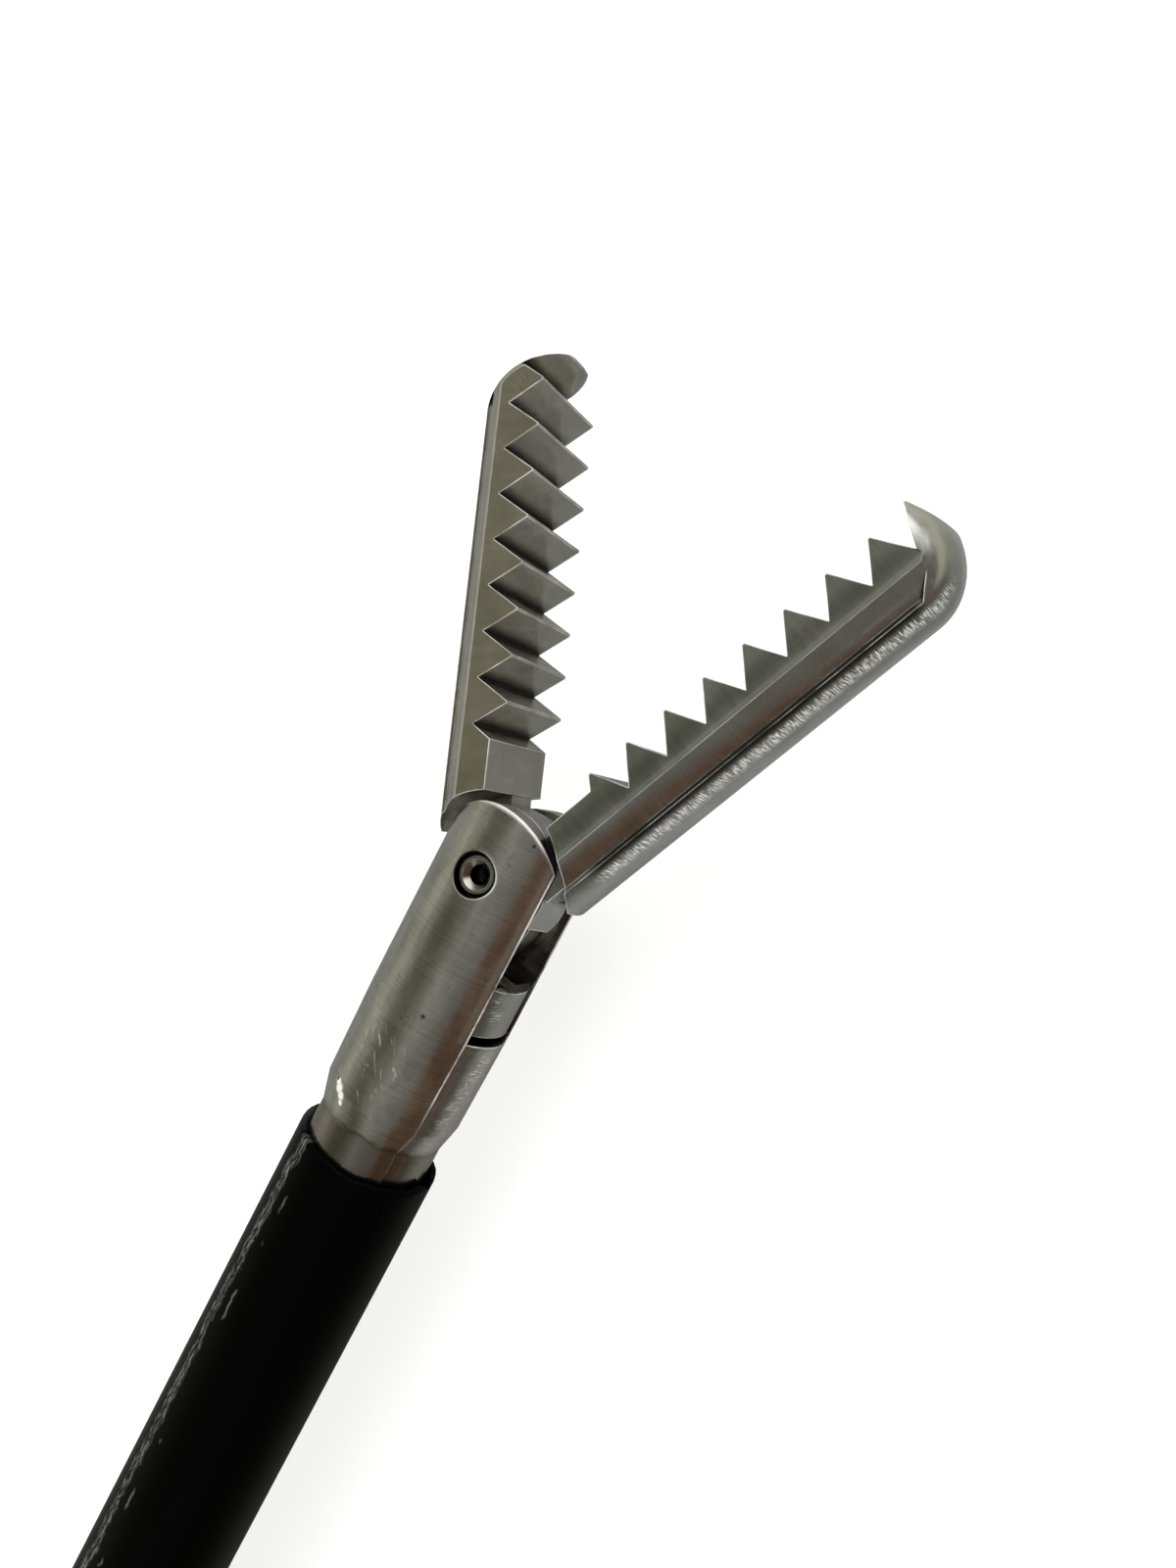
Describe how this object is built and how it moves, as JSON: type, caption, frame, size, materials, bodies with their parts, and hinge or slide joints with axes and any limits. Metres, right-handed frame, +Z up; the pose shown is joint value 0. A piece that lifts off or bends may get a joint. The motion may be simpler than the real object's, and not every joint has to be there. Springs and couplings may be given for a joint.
{
  "type": "laparoscopic grasper",
  "caption": "Laparoscopic grasper: toothed claw jaws on a steel fork at the end of a long insulated shaft, with a rotation knob and a ring handle that opens and closes the jaws.",
  "frame": {"origin": "on the shaft's axis where the bare sleeve starts, half a millimetre in front of the knob", "axes": "+X along the shaft towards the jaws, +Z up along the jaw pin, the instrument lying on its side with its rings towards -Y"},
  "size_m": [0.4556, 0.12, 0.014],
  "materials": {
    "tip_steel": "polished and brushed",
    "pin_steel": "polished",
    "tube_steel": "brushed",
    "insulation": "satin, scuffed",
    "seal": "matte",
    "handle_plastic": "fine grained",
    "bearing_plastic": "satin",
    "lever_steel": "brushed",
    "plug_metal": "polished"
  },
  "bodies": {
    "handle": {"grip": "handle_plastic", "front_bearing": "bearing_plastic", "rear_bearing": "bearing_plastic", "lever_bolt": "pin_steel", "lever_nut": "pin_steel", "plug_bush": "bearing_plastic", "electrode_plug": "plug_metal", "flush_port": "tube_steel"},
    "shaft": {"knob": "handle_plastic", "knob_screw": "pin_steel", "tube_ferrule": "tube_steel", "outer_tube": "tube_steel", "insulation_sleeve": "insulation", "rod_seal": "seal", "clevis": "tip_steel", "pivot_pin": "pin_steel"},
    "rod": {"slider": "pin_steel", "drive_pin": "pin_steel", "push_rod": "tube_steel", "rod_ball": "pin_steel"},
    "right_jaw": {"jaw_right": "tip_steel"},
    "left_jaw": {"jaw_left": "tip_steel"},
    "lever": {"thumb_lever": "lever_steel", "thumb_liner": "handle_plastic"}
  },
  "joints": [
    {"name": "lever_hinge", "type": "hinge", "parent": "handle", "child": "lever", "pos_m": [-0.05, 0.0045, 0], "axis": [0, 0, 1], "range_deg": [0, 14]},
    {"name": "knob_spin", "type": "hinge", "parent": "handle", "child": "shaft", "pos_m": [0, 0, 0], "axis": [1, 0, 0], "continuous": true},
    {"name": "rod_slide", "type": "slide", "parent": "shaft", "child": "rod", "axis": [1, 0, 0], "range_m": [0, 0.00111]},
    {"name": "right_jaw_hinge", "type": "hinge", "parent": "shaft", "child": "right_jaw", "pos_m": [0.33, 0, 0], "axis": [0, 0, 1], "range_deg": [0, 23.75]},
    {"name": "left_jaw_hinge", "type": "hinge", "parent": "shaft", "child": "left_jaw", "pos_m": [0.33, 0, 0], "axis": [0, 0, -1], "range_deg": [0, 23.75]}
  ],
  "couplings": [
    {"joint": "rod_slide", "follows": "lever_hinge", "m_per_rad": 0.0045225},
    {"joint": "right_jaw_hinge", "follows": "lever_hinge", "ratio": 1.6964},
    {"joint": "left_jaw_hinge", "follows": "lever_hinge", "ratio": 1.6964}
  ]
}
